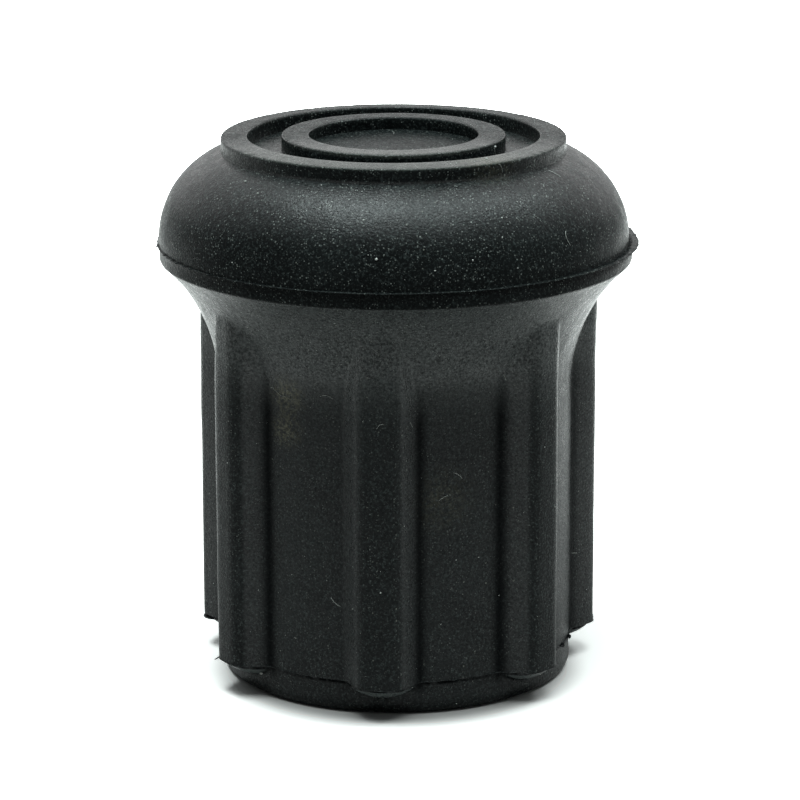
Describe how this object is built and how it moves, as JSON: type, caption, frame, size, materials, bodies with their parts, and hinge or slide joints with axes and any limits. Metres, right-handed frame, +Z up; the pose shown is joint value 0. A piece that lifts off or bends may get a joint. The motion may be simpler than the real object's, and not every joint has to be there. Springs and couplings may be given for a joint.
{
  "type": "rubber cane tip",
  "caption": "Moulded rubber tip that a cane's foot presses into, with a ribbed socket body, a flared flange and a ringed flat tread.",
  "frame": {"origin": "centre of the mouth's rim, on the floor that the tip stands on, on the socket's axis", "axes": "+Z up along the socket's axis, from the mouth to the tread; -Y towards the viewer of the picture, +X to that viewer's right"},
  "size_m": [0.0422, 0.0422, 0.0476],
  "materials": {
    "rubber": "matte"
  },
  "bodies": {
    "root": {"cane_tip": "rubber"}
  },
  "joints": []
}
